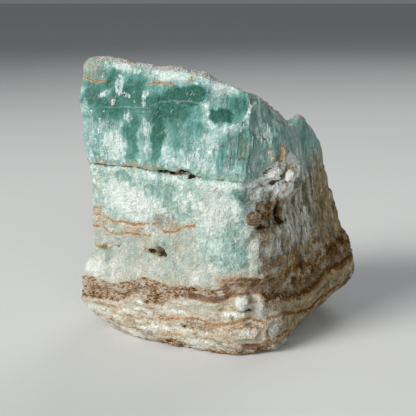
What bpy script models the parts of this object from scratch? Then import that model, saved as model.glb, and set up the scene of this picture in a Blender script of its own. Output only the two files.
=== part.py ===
"""A raw chunk of Caribbean calcite: one broken piece of banded, fibrous calcite and brown aragonite.

The stone is described by its arrises, the corner lines where two of its broken faces meet. They are lofted
into a closed body and the body is remeshed evenly. The relief of the breaks, beds, fibres and holes is then
raised on it, the faces are thinned, and the foot is trimmed flat.

X runs to the right along the front, Y to the back and Z up. The stone stands on Z = 0, and the middle of its
plan is at X = Y = 0. Lengths are in millimetres up to the last step, which scales the mesh to metres.
"""

import bmesh
import bpy
import numpy as np
from mathutils import Matrix, Vector, noise

MM = 0.001

# The corner lines, each from the foot to the top, in order round the stone.
ARRISES = {
    "left": [(-51, -12.5, 6.5), (-54.2, -13.5, 9.5), (-55.4, -14, 14), (-55, -14, 20), (-53.2, -14, 25),
             (-49.6, -14, 30), (-48, -13, 33), (-49.6, -14, 40), (-50, -14, 45), (-48, -14, 51),
             (-48.2, -14, 58), (-48.8, -14, 65), (-50.6, -14, 76), (-51.4, -14, 90), (-52.2, -13, 98),
             (-49.6, -12, 105.6)],
    "front": [(-30, -24, 0.6), (-31, -26, 5), (-30, -26, 20), (-28, -26, 32), (-28, -26, 48),
              (-27, -26, 64), (-28, -24, 80), (-27, -23.5, 102.4)],
    "middle": [(-14, -32, 1), (-14, -34, 5), (-14, -34, 25), (-13, -33, 45), (-11, -32.5, 64),
               (-10, -31, 82), (-10, -30.5, 100.6)],
    "swell": [(5, -39.5, 0.2), (4, -40.5, 5), (2, -39.5, 25), (2, -38, 45), (7, -38.5, 64),
              (9.5, -38.5, 78), (8, -36, 95)],
    "near": [(17, -37, 0.8), (18, -39, 5), (16, -40, 12), (14, -40, 25), (12.8, -39.5, 39),
             (14, -37.5, 48), (17.5, -32, 54), (21.6, -25, 59), (25, -18, 68), (22.5, -18, 81.5)],
    "fold": [(33, -12, 3), (38, -9, 8), (39.5, -8, 22), (37, -8, 34), (35, -7.5, 43), (33, -6.5, 53),
             (30.5, -6, 63), (28, -7, 72), (26, -9, 78.6)],
    "right": [(45, 6, 8), (51.8, 8, 13), (54, 11, 18), (55.4, 14, 24), (54.2, 14, 27), (50.7, 14, 33),
              (46.1, 14, 42), (42.3, 13, 51), (40.2, 12, 60), (38.4, 10, 68), (34.8, 6, 75),
              (29.5, -2, 82)],
    "back right": [(36, 29, 4), (42, 34, 10), (43, 35, 24), (40, 34, 36), (35, 29, 44), (33, 27, 62),
                   (26, 20, 72)],
    "back": [(5, 37, 2), (6, 41, 8), (4, 42, 24), (1, 39, 39), (-1, 31, 47), (-4, 25, 64), (-4, 19, 71)],
    "back left": [(-30, 24, 3), (-36, 27, 8), (-39, 27, 22), (-39, 24, 38), (-38, 20, 50), (-38, 14, 72),
                  (-36, 9, 86)],
}
SADDLE = (-4, -6, 86)  # the middle of the worn top, below the crest that runs along the front
LEVELS = 40  # rings of the loft between the foot and the top
SOLE_INSET = 0.8  # share of the rim's plan that the sole keeps
SOLE_DEPTH = -1.5  # the sole before the foot is trimmed at Z = 0

# Flat breaks that take off corners of the back and the top: a point of each, and the way it faces.
BREAKS = [
    ((35, 31, 13), (0.8, 1.0, -0.6)),
    ((-31, 25, 13), (-1.0, 0.9, -0.6)),
    ((-37, 14, 62), (-1.0, 0.8, 0.3)),
    ((12, 39.5, 26), (0.35, 1.0, 0.25)),
    ((30, 24, 66), (0.8, 0.6, 0.7)),
    ((-20, 17, 74), (-0.2, 0.9, 0.8)),
    ((44, 24, 40), (1.0, 0.6, 0.3)),
]

# Beds lie nearly flat. Each is a line of (X, Z) that runs through the whole stone.
PARTING = [(-46, 64.4), (-33, 64.8), (-22, 64.1), (-11, 63.7), (0, 62.9), (9, 62.1), (20, 61.6)]
BROWN_TOP = [(-52, 19.8), (-42, 20.5), (-32, 24.5), (-24, 23.7), (-13, 23.2), (-3, 26.8), (6, 28.5),
             (14, 27.4), (22, 25), (33, 25.5), (42, 27), (52, 27.5)]
BROWN_BOTTOM = [(-52, 13.3), (-42, 13.6), (-30, 17.2), (-20, 17.2), (-13, 20), (0, 20.9), (5, 23.5),
                (13, 24.4), (22, 20.4), (33, 19), (50, 20.6)]

# Holes: place on the surface, radius along X, radius along Z, depth.
HOLES = {
    "parting gape left": ((-20.5, -28.8, 64.1), 3.2, 1.3, 3.4),
    "parting gape right": ((-13.4, -31.5, 63.9), 3.4, 1.5, 4.2),
    "vug": ((-23, -28.6, 35.6), 3.6, 1.7, 3.0),
    "notch": ((-46, -14, 31.6), 5.0, 1.6, 2.4),
    "brown cavity": ((18.6, -30, 49.6), 2.6, 4.6, 3.4),
    "side hollow": ((15, -34.6, 47.4), 4.0, 3.0, 1.6),
    "shard hollow": ((19, -26.4, 66.4), 1.8, 3.6, 2.4),
    "spur saddle": ((24.5, -11, 80), 5.5, 5.0, 3.0),
    "spur notch": ((24.8, -3.5, 81.5), 4.6, 6.0, 4.2),
    "behind the notch": ((23.6, 3.0, 79.5), 5.6, 6.0, 4.2),
    "teal scoop": ((1, -34.8, 87.5), 7.5, 7.0, 1.8),
    "under the boss": ((9.8, -40, 14.6), 3.2, 1.4, 1.6),
    "lower vug": ((-12.8, -34.4, 9.2), 2.0, 1.1, 1.5),
}
# Bosses: place, radius along X, radius along Z, height.
BOSSES = {
    "corner block": ((-45.5, -15, 99.5), 6.5, 3.6, 1.3),
    "crusty lump": ((-44.6, -15, 34.6), 4.2, 1.9, 1.6),
    "lower bulge": ((-47.5, -16, 25.5), 6.0, 4.2, 1.3),
    "white boss": ((7.5, -39.8, 20.2), 3.0, 3.6, 2.0),
    "foot lens": ((-20, -30, 4.0), 5.0, 2.0, 1.2),
    "cream swell": ((1, -39, 9.0), 12.0, 5.0, 1.2),
}

CHIP_MEAN = 0.44  # brings the mean height of the chips to 0
CHIP_SEED = 1795464937  # picks the way that each chip is tilted, the same on every run
VOXEL = 0.9
TRIANGLES = 9300
CALCITE_COLOUR = (0.58, 0.70, 0.65, 1.0)
CALCITE_ROUGHNESS = 0.5


def on_arris(line, share):
    """The point of a corner line at a share of its height."""
    heights = [point[2] for point in line]
    z = heights[0] + share * (heights[-1] - heights[0])
    return [float(np.interp(z, heights, [point[axis] for point in line])) for axis in range(3)]


def lofted_body():
    """The closed body between the corner lines, with a level sole and a top that dips to the saddle."""
    bm = bmesh.new()
    lines = list(ARRISES.values())
    rim = [Vector(line[0]) for line in lines]
    centre = sum(rim, Vector()) / len(rim)
    sole = [centre.lerp(point, SOLE_INSET) for point in rim]
    rings = [[bm.verts.new((point.x, point.y, SOLE_DEPTH)) for point in sole]]
    for level in range(LEVELS + 1):
        rings.append([bm.verts.new(on_arris(line, level / LEVELS)) for line in lines])
    saddle = bm.verts.new(SADDLE)
    for i in range(len(lines)):
        after = (i + 1) % len(lines)
        for lower, upper in zip(rings, rings[1:]):
            bm.faces.new((lower[i], lower[after], upper[after], upper[i]))
        bm.faces.new((rings[-1][i], rings[-1][after], saddle))
    bm.faces.new(reversed(rings[0]))
    mesh = bpy.data.meshes.new("calcite")
    bm.to_mesh(mesh)
    bm.free()
    return mesh


def modified(obj, kind, **settings):
    """Applies one modifier to the object's mesh."""
    modifier = obj.modifiers.new(kind.lower(), kind)
    for name, value in settings.items():
        setattr(modifier, name, value)
    graph = bpy.context.evaluated_depsgraph_get()
    made = bpy.data.meshes.new_from_object(obj.evaluated_get(graph))
    obj.modifiers.clear()
    obj.data = made


def rumple(points, size, stretch=1.0, octaves=2):
    """Noise from about -1 to 1 with features of a size, drawn out along Z."""
    scale = np.array([1, 1, 1 / stretch]) / size
    return np.array([noise.fractal(Vector(p), 1.0, 2.0, octaves) for p in points * scale])


def chipped(points, size):
    """Flat chips of a size, each tilted its own way, that meet at edges. From about -1 to 1."""
    chips = []
    for place in map(Vector, points / size):
        middles = noise.voronoi(place)[1]
        chips.append(min(noise.noise_vector(middle * 7.3).dot(place - middle) for middle in middles))
    return np.array(chips) * 2.0 + CHIP_MEAN


def smooth_step(value, start, end):
    share = np.clip((value - start) / (end - start), 0, 1)
    return share * share * (3 - 2 * share)


def blob(points, place, radius_x, radius_z):
    """1 at a place, falling to 0 at its radii. Y counts as X does."""
    reach = (points - np.array(place)) / (radius_x, radius_x, radius_z)
    return 1 - smooth_step(np.linalg.norm(reach, axis=1), 0.35, 1.0)


def relief(points, normals):
    """How far the broken surface stands out from the lofted body at each point."""
    x, z = points[:, 0], points[:, 2] + 0.5 * rumple(points, 7.0)
    parting = z - np.interp(x, *zip(*PARTING))
    below_top = np.interp(x, *zip(*BROWN_TOP)) - z
    above_bottom = z - np.interp(x, *zip(*BROWN_BOTTOM))
    upright = 1 - np.abs(normals[:, 2])
    upper = smooth_step(parting, 0.0, 1.0)
    brown = smooth_step(below_top, 0.0, 0.8) * smooth_step(above_bottom, 0.0, 0.8)
    faces_right = smooth_step(normals[:, 0], 0.25, 0.6)
    rough = np.maximum(smooth_step(normals[:, 1], 0.1, 0.5), smooth_step(normals[:, 2], 0.3, 0.7))
    rough *= smooth_step(points[:, 1], -22.0, 0.0)
    parted = (1 - smooth_step(x, 20.0, 27.0)) * (1 - 0.7 * rough)

    height = 1.2 * rumple(points, 24.0) + 0.8 * chipped(points, 11.0) + 0.3 * rumple(points, 4.5)
    height += rough * (1.8 * chipped(points, 21.0) + 0.4 * rumple(points, 6.0))
    fibres = np.abs(rumple(points, 3.6, stretch=9.0)) - 0.25
    height += upright * (0.5 * upper + 0.9 * faces_right * (1 - brown)) * fibres
    height += upright * (0.5 * upper * parted - 0.9 * brown)
    height += upright * 1.1 * brown * rumple(points, 2.6)
    height -= upright * parted * 1.1 * np.exp(-((parting / 0.9) ** 2))
    for place, radius_x, radius_z, depth in HOLES.values():
        height -= depth * blob(points, place, radius_x, radius_z)
    for place, radius_x, radius_z, rise in BOSSES.values():
        height += rise * blob(points, place, radius_x, radius_z)
    return height


def vectors(collection, name):
    """One vector property of every item of a mesh, as rows."""
    values = np.empty(len(collection) * 3, np.float32)
    collection.foreach_get(name, values)
    return values.reshape(-1, 3).astype(float)


def break_off(mesh):
    """Presses what stands beyond a flat break down on to it."""
    points = vectors(mesh.vertices, "co")
    for place, facing in BREAKS:
        facing = np.array(Vector(facing).normalized())
        beyond = np.clip((points - np.array(place)) @ facing, 0, None)
        points -= beyond[:, None] * facing
    mesh.vertices.foreach_set("co", points.ravel())
    mesh.update()


def raise_relief(mesh):
    """Moves each vertex along its normal by the relief."""
    points, normals = vectors(mesh.vertices, "co"), vectors(mesh.vertex_normals, "vector")
    points += normals * relief(points, normals)[:, None]
    mesh.vertices.foreach_set("co", points.ravel())
    mesh.update()


def trim_foot(mesh):
    """Cuts the sole off flat at Z = 0."""
    bm = bmesh.new()
    bm.from_mesh(mesh)
    everything = bm.verts[:] + bm.edges[:] + bm.faces[:]
    cut = bmesh.ops.bisect_plane(bm, geom=everything, plane_co=(0, 0, 0), plane_no=(0, 0, 1), clear_inner=True)
    rim = [item for item in cut["geom_cut"] if isinstance(item, bmesh.types.BMEdge)]
    bmesh.ops.holes_fill(bm, edges=rim)
    bmesh.ops.triangulate(bm, faces=bm.faces)
    bm.to_mesh(mesh)
    bm.free()


def calcite_material():
    material = bpy.data.materials.new("calcite")
    material.use_nodes = True
    shader = material.node_tree.nodes["Principled BSDF"]
    shader.inputs["Base Color"].default_value = CALCITE_COLOUR
    shader.inputs["Roughness"].default_value = CALCITE_ROUGHNESS
    shader.inputs["Metallic"].default_value = 0.0
    return material


def main():
    for obj in list(bpy.data.objects):
        bpy.data.objects.remove(obj)
    noise.seed_set(CHIP_SEED)
    stone = bpy.data.objects.new("calcite", lofted_body())
    bpy.context.scene.collection.objects.link(stone)
    modified(stone, "REMESH", mode="VOXEL", voxel_size=VOXEL)
    break_off(stone.data)
    raise_relief(stone.data)
    modified(stone, "REMESH", mode="VOXEL", voxel_size=VOXEL)
    triangles = 2 * len(stone.data.polygons)
    modified(stone, "DECIMATE", ratio=TRIANGLES / triangles)
    trim_foot(stone.data)
    stone.data.transform(Matrix.Scale(MM, 4))
    stone.data.name = "calcite"
    stone.data.materials.append(calcite_material())


main()
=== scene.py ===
"""The looks of a raw chunk of Caribbean calcite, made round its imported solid. Lengths here are in
millimetres until they reach a mesh, a light or the camera, which count in metres."""

import math

import bpy
import numpy as np
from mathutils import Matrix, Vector, noise


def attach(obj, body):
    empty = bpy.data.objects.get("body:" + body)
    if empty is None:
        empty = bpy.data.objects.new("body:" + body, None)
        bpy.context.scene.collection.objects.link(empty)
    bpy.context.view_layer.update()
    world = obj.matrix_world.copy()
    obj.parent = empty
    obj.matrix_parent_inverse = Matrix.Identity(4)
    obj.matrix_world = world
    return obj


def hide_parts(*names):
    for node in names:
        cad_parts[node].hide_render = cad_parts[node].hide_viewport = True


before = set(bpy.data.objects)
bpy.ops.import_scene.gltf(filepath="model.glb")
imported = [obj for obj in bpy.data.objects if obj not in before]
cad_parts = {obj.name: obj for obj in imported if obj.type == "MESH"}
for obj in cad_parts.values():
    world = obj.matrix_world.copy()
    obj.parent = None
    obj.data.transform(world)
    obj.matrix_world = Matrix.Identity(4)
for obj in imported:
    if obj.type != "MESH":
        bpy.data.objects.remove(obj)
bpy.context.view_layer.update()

# ---- The chunk -------------------------------------------------------------------------------------------
# One natural piece broken out of a vein of banded calcite, never worked, which stands on its own foot. Its
# solid gets a finer skin here, with small chips all over. Each section below then raises its own relief
# on that skin and lays its own colour over what is there.
MM = 0.001
SKIN = 0.685  # spacing of the fine skin
ROUNDING = 9  # passes that take off the solid's flat triangles

stone = bpy.data.objects.new("calcite_stone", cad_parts["calcite"].data.copy())
bpy.context.scene.collection.objects.link(stone)


def shaped(kind, **settings):
    """Applies one modifier to the stone."""
    modifier = stone.modifiers.new(kind.lower(), kind)
    for name, value in settings.items():
        setattr(modifier, name, value)
    graph = bpy.context.evaluated_depsgraph_get()
    skin = bpy.data.meshes.new_from_object(stone.evaluated_get(graph))
    stone.modifiers.clear()
    stone.data = skin


def rows(collection, name):
    """One vector property of every item of a mesh, as rows."""
    values = np.empty(len(collection) * 3, np.float32)
    collection.foreach_get(name, values)
    return values.reshape(-1, 3).astype(float)


def ramp(value, low, high):
    """0 below low and 1 above high, smooth between them."""
    share = np.clip((value - low) / (high - low), 0, 1)
    return share * share * (3 - 2 * share)


def waves(places, size, stretch=1.0, octaves=2, shift=0.0):
    """Noise from about -1 to 1 with features of a size, drawn out along Z. shift gives another pattern."""
    scale = np.array([1, 1, 1 / stretch]) / size
    return np.array([noise.fractal(Vector(p), 1.0, 2.0, octaves) for p in places * scale + shift])


CHIP_SEED = 2  # picks the way that each chip is tilted, the same on every run
CHIP_SPREAD = 7.3  # takes neighbouring chips far apart in the noise, so that their tilts differ
CHIP_SWING = 2.0  # brings the chips to heights from about -1 to 1
CHIP_MEAN = 0.44  # brings their mean height to 0
noise.seed_set(CHIP_SEED)


def chips(places, size):
    """Small flat breaks that meet at edges, each tilted its own way. From about -1 to 1."""
    heights = []
    for place in map(Vector, places / size):
        middles = noise.voronoi(place)[1]
        tilts = [noise.noise_vector(middle * CHIP_SPREAD) for middle in middles]
        heights.append(min(tilt.dot(place - middle) for tilt, middle in zip(tilts, middles)))
    return np.array(heights) * CHIP_SWING + CHIP_MEAN


shaped("REMESH", mode="VOXEL", voxel_size=SKIN * MM)
shaped("SMOOTH", factor=0.5, iterations=ROUNDING)
skin = rows(stone.data.vertices, "co") / MM
facing = rows(stone.data.vertex_normals, "vector")
faces_back = ramp(facing[:, 1], 0.0, 0.5)

height = 0.45 * chips(skin, 5.0) + 0.14 * waves(skin, 1.6)
height += faces_back * 0.5 * chips(skin + 50, 9.0)

# ---- The near corner -------------------------------------------------------------------------------------
# Where the front turns into the right side. It is chipped all the way up, and worn round above the
# parting. At the parting the fibres have split off as a cluster of white, leaning shards.
CORNER = [
    (4, 18.4, -38.7), (22, 14.7, -39.7), (40, 12.6, -39.0), (58, 13.2, -36.5), (70, 10.3, -39.1),
    (82, 9.4, -37.5), (94, 7.0, -34.6), (100, -7.5, -30),
]  # Z, then X and Y
SHARDS = [
    (1.0, 17.8, -28.2, 65.0, 8.5, 6.6, 0.3), (0.9, 20.5, -25, 67, 6, 6, 0.3),
    (1.0, 15, -32, 60.5, 6, 3.4), (0.9, 19.5, -27.5, 57.5, 6, 4), (0.8, 12, -36, 61.5, 5, 1.8),
    (0.6, 11.5, -36, 57.5, 5, 2.6),
]
BLADES = [(16.8, 64.8, 0.9, 3.4, 0.55), (19.3, 62.4, 0.6, 3.6, 0.6), (14.0, 62.2, 0.5, 2.0, 0.7)]
# Thin gaps between the shards, sunk into the relief and given a dark painted shade in the right side's
# colours.
SPLIT_GAPS = [
    (15.2, 65.3, 0.45, 2.6, 0.5), (18.2, 62.6, 0.4, 3.0, 0.6), (17.0, 61.2, 0.35, 2.4, 0.65),
    (20.6, 61.6, 0.4, 2.8, 0.5), (13.0, 60.8, 0.35, 1.6, 0.8),
]
BUNDLE_SWELLING = (21, -26, 61, 7, 7)  # where the bundle of shards stands out most
corner_z, corner_x, corner_y = zip(*CORNER)
right_of_corner = skin[:, 0] - np.interp(skin[:, 2], corner_z, corner_x)
from_corner = np.hypot(right_of_corner, skin[:, 1] - np.interp(skin[:, 2], corner_z, corner_y))
height += 1.7 * chips(skin + 70, 7.0) * (1 - ramp(from_corner, 4, 12))
worn = ramp(skin[:, 2], 62, 70) * (1 - ramp(skin[:, 2], 80, 88))
worn += 0.8 * ramp(skin[:, 2], 20, 28) * (1 - ramp(skin[:, 2], 56, 64))
height -= (1.3 + 1.0 * worn) * (1 - ramp(from_corner, 0, 9))
bundle = (1 - ramp(from_corner, 8, 18)) * ramp(skin[:, 2], 58, 66) * (1 - ramp(skin[:, 2], 84, 96))
height += 1.3 * bundle * (np.abs(waves(skin, 3.0, stretch=6.0, shift=13.0)) - 0.25)
leaning = skin - np.stack([0.5 * skin[:, 2], 0 * skin[:, 2], 0 * skin[:, 2]], axis=1)
past_corner = right_of_corner + 4.0 * waves(skin, 4.0, stretch=1.8, octaves=3, shift=7.7)


def warped(places, size, by):
    """The places pushed about by noise, which gives whatever is drawn on them ragged edges."""
    return places + by * np.stack([waves(places, size, shift=shift) for shift in (1.0, 5.0, 9.0)], axis=1)


def spot(places, mark, full=0.35, squareness=2):
    """1 round a mark's place, falling to 0 at its radii across and up. A mark may lean, in X per
    millimetre up."""
    x, y, z, across, up, lean = (*mark, 0.0)[:6]
    away = places - (x, y, z)
    away[:, 0] -= lean * away[:, 2]
    return 1 - ramp(np.linalg.norm(away / (across, across, up), ord=squareness, axis=1), full, 1.0)


def covered(places, marks, full=0.35, squareness=2):
    """How strongly marks cover each place. A mark is (strength, x, y, z, across, up), and its lean if it
    has one."""
    bare = np.ones(len(places))
    for strength, *mark in marks:
        bare *= 1 - strength * spot(places, mark, full, squareness)
    return 1 - bare


def strokes(places, lines):
    """1 along thin leaning strokes on the front and the right side. A stroke is (X, Z, half width, half
    length, lean)."""
    drawn = np.zeros(len(places))
    for x, z, width, length, lean in lines:
        aside = (places[:, 0] - x - lean * (places[:, 2] - z)) / width
        drawn = np.maximum(drawn, 1 - ramp(np.hypot(aside, (places[:, 2] - z) / length), 0.3, 1.0))
    return drawn * (1 - faces_back)


frayed = warped(skin, 1.3, 0.5)
split = covered(frayed, SHARDS)
height += 1.5 * strokes(frayed, BLADES)
height -= 1.3 * strokes(frayed, SPLIT_GAPS)
height += split * 2.2 * chips(leaning * (1, 1, 0.4) + 90, 2.8)
height += 1.5 * spot(skin, BUNDLE_SWELLING, full=0.05)
swelling = ramp(right_of_corner, 0, 4) * ramp(skin[:, 2], 51, 60)
swelling *= 1 - ramp(skin[:, 2], 74, 90)
swelling *= 3.4 + 1.4 * (1 - ramp(skin[:, 2], 64, 76))
height += swelling * np.exp(-(((from_corner - 11 - 7 * (1 - ramp(skin[:, 2], 62, 78))) / 7.5) ** 2))

# ---- The parting -----------------------------------------------------------------------------------------
# A bed plane where the stone has begun to part. It runs across the front as a thin brown line with a pale
# lip, gapes open at two places left of the middle, and runs out into the shards on the near corner.
PARTING = [
    (-50, 64.3), (-46, 64.4), (-33, 64.8), (-27, 64.5), (-22, 64.1), (-16.7, 63.8), (-11.5, 63.7),
    (-6, 63.2), (0.4, 62.9), (5, 62.7), (9, 62.3), (13, 62.6), (18, 62.8), (24, 63.5),
]
PARTING_END = 15.0  # X where it has closed
GAPES = [
    ((-20.8, -28.6, 64.3, 1.9, 0.8), 2.4), ((-18.4, -29.6, 63.9, 2.0, 0.6), 2.2),
    ((-13.8, -31.4, 64.1, 2.2, 1.2), 1.9), ((-11.6, -32.0, 63.4, 2.2, 0.8), 2.0),
]


def course(places, line):
    """The height of a bed's line of (X, Z) over each place."""
    return np.interp(places[:, 0], *zip(*line))


upright = 1 - np.abs(facing[:, 2])
above_parting = skin[:, 2] - course(skin, PARTING) - 0.3 * waves(skin, 2.5, stretch=3.0, shift=9.0)
open_line = (1 - ramp(skin[:, 0], PARTING_END - 4, PARTING_END)) * (1 - 0.8 * faces_back) * upright
open_line *= 0.35 + 0.65 * ramp(waves(skin, 6.0, shift=3.0), -0.3, 0.2)
open_line *= 1 - 0.7 * ramp(skin[:, 0], -10, -5)
height -= open_line * 0.9 * np.exp(-((above_parting / 0.5) ** 2))
gape = np.zeros(len(skin))
for mark, depth in GAPES:
    hole = spot(frayed, mark, full=0.6)
    gape = np.maximum(gape, hole)
    height -= depth * hole

# ---- The calcite -----------------------------------------------------------------------------------------
# Clear blue-green calcite, deep and glassy where it is whole, and white where it is bruised or full of
# fractures. It grew as upright fibres, which show as pale streaks. Deep, fibrous and white places are
# listed mark by mark.
DEEP = [
    (0.28, -17, -30, 77, 4, 7), (0.52, -34, -22, 90, 20, 13), (0.3, -45, -16.5, 86, 5, 11),
    (0.5, -18, -29, 86, 14, 10), (0.32, 5, -34.5, 88, 9, 8), (0.3, 13, -34, 78, 9, 14),
    (0.3, 19, -25, 79, 6, 8), (0.35, 32, -1, 73, 8, 10), (0.25, -13, -31, 75.5, 8, 6),
    (0.5, 35.5, 2, 61, 3.5, 6), (0.18, -21, -29.2, 57.5, 10, 7), (0.2, 5.5, -38.5, 58, 7, 4),
    (0.22, 0.5, -37.8, 39.5, 9, 10), (0.15, -28, -25, 60, 12, 3), (0.2, 10, -36, 72, 8, 9),
]
CRISP_DEEP = [
    (0.5, -31.8, -22.8, 75, 3.0, 10), (0.72, -22.9, -26.8, 75, 2.7, 13, -0.03),
    (0.95, -12.5, -30, 91.0, 8.0, 3.6), (0.5, -19, -28, 89.0, 5.5, 3.4),
    (0.6, -17.5, -29, 85.0, 6.0, 2.6), (0.5, 6.4, -34.8, 88.2, 3.6, 2.8, 0.5),
    (1.0, -0.8, -33.5, 84.6, 3.6, 2.8, -0.45), (0.3, -36, -21.5, 61.8, 3, 1.8),
    (0.35, 5.5, -38.5, 59.5, 4, 2.8), (0.35, 2.5, -37, 74, 5, 8), (0.3, -1.5, -35, 70, 2.5, 6),
    (0.25, 5.7, -38.8, 36, 3.4, 4.6), (0.35, -42.7, -16.5, 30, 1.7, 4), (0.35, -30, -23, 91, 6, 5),
    (0.3, -40, -19, 85, 7, 4), (0.5, 35.5, 2, 60, 2, 5), (0.4, -47, -15, 89, 2, 6),
    (0.35, -9, -32, 80, 4, 3), (0.4, -38, -20, 96, 3, 4, 0.6), (0.25, 6.5, -38.5, 77, 2.6, 8),
    (0.3, 8.5, -38, 70, 3, 6), (0.15, -21, -29.2, 57.5, 5, 3), (0.3, 8, -35, 88, 2, 4),
]
FIBROUS = [
    (0.95, -41, -18, 75, 8, 12), (0.95, -26.8, -25.5, 77, 2.8, 11), (0.8, -34, -22, 78, 4, 8),
    (0.6, -8, -31, 73, 12, 9), (0.8, 13, -33, 75, 12, 14), (0.7, 22, -22, 76, 8, 8),
    (0.4, 2, -37, 45, 14, 14), (0.3, -30, -25, 55, 18, 8), (0.9, 2, -34, 72, 10, 9),
]
WHITE = [
    (0.9, 8.5, -36.5, 86, 2.4, 7, 0.1), (0.45, 12, -35, 78, 6, 9), (0.4, 9, -36, 68, 6, 6),
    (0.7, -33, -23, 52.5, 14, 7), (0.4, -30, -24.5, 47.5, 11, 3), (0.5, -3, -36.5, 51, 9, 11),
    (0.6, 2, -37.5, 61, 14, 2.2), (0.9, -35.5, -19.5, 99.7, 5, 2.2), (0.9, -20, -27.5, 97, 11, 2.6),
    (0.75, -36.5, -20, 94.5, 4, 4.5, 0.3), (0.65, -41, -18.5, 90.5, 3, 2.4),
    (0.7, -26, -25.5, 91, 3, 3.2), (0.6, -33, -22.4, 81.5, 2.4, 4.0), (0.5, -26.8, -25.5, 78, 1.6, 9),
    (0.55, -39, -20, 72, 6.5, 8, 0.1), (0.75, 0.5, -33.6, 94, 7, 2.4), (0.85, 10, -35.5, 87, 1.6, 7),
    (0.2, -8, -31, 76, 11, 7), (0.6, 1.5, -33.6, 92.3, 5, 1.8), (0.4, -10, -32, 68, 18, 4.5),
    (0.5, -6.0, -32, 87, 2.2, 8, 0.1), (0.35, -1, -33.6, 78, 6, 3), (0.8, -48, -16.5, 26, 7, 6),
    (1.0, 6.6, -39.8, 20.8, 3.6, 4.2), (0.85, 12.8, -39.5, 17, 3, 7), (0.7, -9, -35.5, 3, 9, 1.8),
    (0.85, -48, -15, 9, 9, 3.6), (0.9, 20.2, -25.5, 64.5, 2.2, 4, 0.4), (0.8, 17, -31.5, 58.5, 7, 4),
    (0.6, -33, -20.5, 99, 3, 3), (0.75, 3, -35, 80, 6, 2.4), (0.6, 28.5, -4, 79.5, 3, 2),
    (0.6, -3, -38, 40, 4, 5),
]
SHATTERED = [
    (0.9, 7.6, -36.8, 84.5, 1.4, 6.0, 0.35), (0.6, 3.0, -35.6, 88.0, 0.7, 4.0, 0.8),
    (0.9, -36.3, -20, 93.6, 2.6, 4.8, 0.15), (0.6, -34.4, -20, 91.2, 2.4, 2.2, -0.6),
    (0.9, -41.4, -18.5, 90.6, 2.0, 2.4, 0.5), (0.8, -26.2, -25.3, 91.2, 1.8, 3.0, 0.3),
    (0.7, -27.4, -25.3, 87.6, 1.4, 2.4), (0.6, -33, -22.4, 82.5, 2.2, 3.4, 0.1),
    (0.3, -28.0, -25, 78.5, 1.6, 8, 0.03), (0.45, -40.0, -19, 71.5, 4.6, 7.0, -0.12),
    (0.6, -36.2, -21, 68.0, 2.6, 3.0), (0.6, -43.8, -17.5, 79.5, 1.2, 7.5, 0.05),
    (0.6, -41.6, -18, 83.0, 0.7, 5.5), (0.5, -46.6, -15.5, 82, 0.8, 9),
    (0.85, 9.4, -36.5, 88.5, 0.9, 5.5, 0.1), (0.8, 7.2, -37, 85.2, 0.8, 4.5, 0.75),
    (0.6, 4.5, -37, 81.2, 3.4, 0.9, 0.5), (0.8, 1.4, -34.5, 94.6, 5.5, 1.8),
    (0.6, -0.5, -35, 91.4, 3.6, 1.1), (0.8, 2.2, -36, 80.8, 2.2, 0.9),
    (0.25, -7.0, -32, 86.5, 1.2, 6.5, 0.15), (0.85, -12.5, -30, 97.2, 9, 1.5),
    (0.85, -35.4, -19.8, 99.6, 5, 1.6, 0.2), (0.7, -33.5, -22, 89.6, 2.0, 1.2, 0.6),
    (0.6, -30.5, -23.5, 87.6, 1.5, 1.0, -0.6), (0.6, -38.4, -20, 87.4, 1.8, 0.9, 0.4),
    (0.7, -30.2, -22.5, 98.2, 3, 1.8, -0.5), (0.5, -31, -24, 52.5, 9, 3.6),
    (0.5, -37.5, -20, 55.5, 3.5, 4.5), (0.55, -8.2, -35, 32.5, 0.8, 4.5),
    (0.6, -2.5, -37.5, 46.5, 1.6, 5), (0.75, 12.8, -39.5, 17, 2.0, 6), (0.9, 6.6, -39.8, 20.9, 2.8, 3.6),
    (0.55, 9.5, -40, 33, 2.2, 7), (0.7, 15.5, -35.5, 59.5, 5, 2.6), (0.7, 4, -38, 61.0, 9, 1.0),
]
GREYED = [
    (1.0, -46.2, -15.5, 99.5, 6.0, 6.8), (0.45, -21, -29.2, 57.5, 9, 7),
    (0.45, -36.5, -21.5, 61.8, 4, 2.2), (0.6, -22, -29, 49, 3, 3), (0.6, -45, -15.5, 58, 4, 9),
    (0.6, -17, -31, 46, 5, 3), (0.5, 7, -39, 56, 5, 4), (0.5, 10, -39, 40, 4, 14),
    (0.6, 9.5, -39.5, 43, 3, 5), (0.7, -24, -28, 37, 12, 6), (0.7, -42, -18, 38, 8, 8),
    (0.6, -14, -32, 28, 9, 4), (0.5, 11, -38, 59, 4, 4), (0.5, 5, -38, 73, 8, 9),
    (0.5, 9, -39, 45.5, 4, 5), (0.5, -38, -20, 46, 8, 6), (0.6, -34, -23, 31, 12, 4),
]
PALE_LINES = [
    (0.30, [(-41, 85.4), (-33, 85.9), (-26, 86.1)]),
    (0.35, [(-24, 87.2), (-22, 88.3), (-17.5, 88.7), (-12.7, 88.9), (-7, 88.3)]),
]
PALE_LINE = (0.49, 0.66, 0.61)
CALCITE = [
    (0.0, (0.74, 0.84, 0.80)), (0.2, (0.49, 0.66, 0.61)), (0.36, (0.31, 0.52, 0.475)),
    (0.52, (0.20, 0.405, 0.365)), (0.68, (0.112, 0.30, 0.262)), (0.84, (0.052, 0.195, 0.15)),
    (1.0, (0.02, 0.12, 0.085)),
]
WARM = [
    (0.0, (0.19, 0.27, 0.22)), (0.3, (0.33, 0.40, 0.335)), (0.6, (0.52, 0.52, 0.44)),
    (1.0, (0.79, 0.785, 0.70)),
]
OLIVE = (0.40, 0.36, 0.20)
BRUISE = (0.81, 0.885, 0.86)
CLEAR_PATCH = (0.5, -37.8, 40, 13, 13)  # stays blue-green among the warm calcite round it

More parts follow.
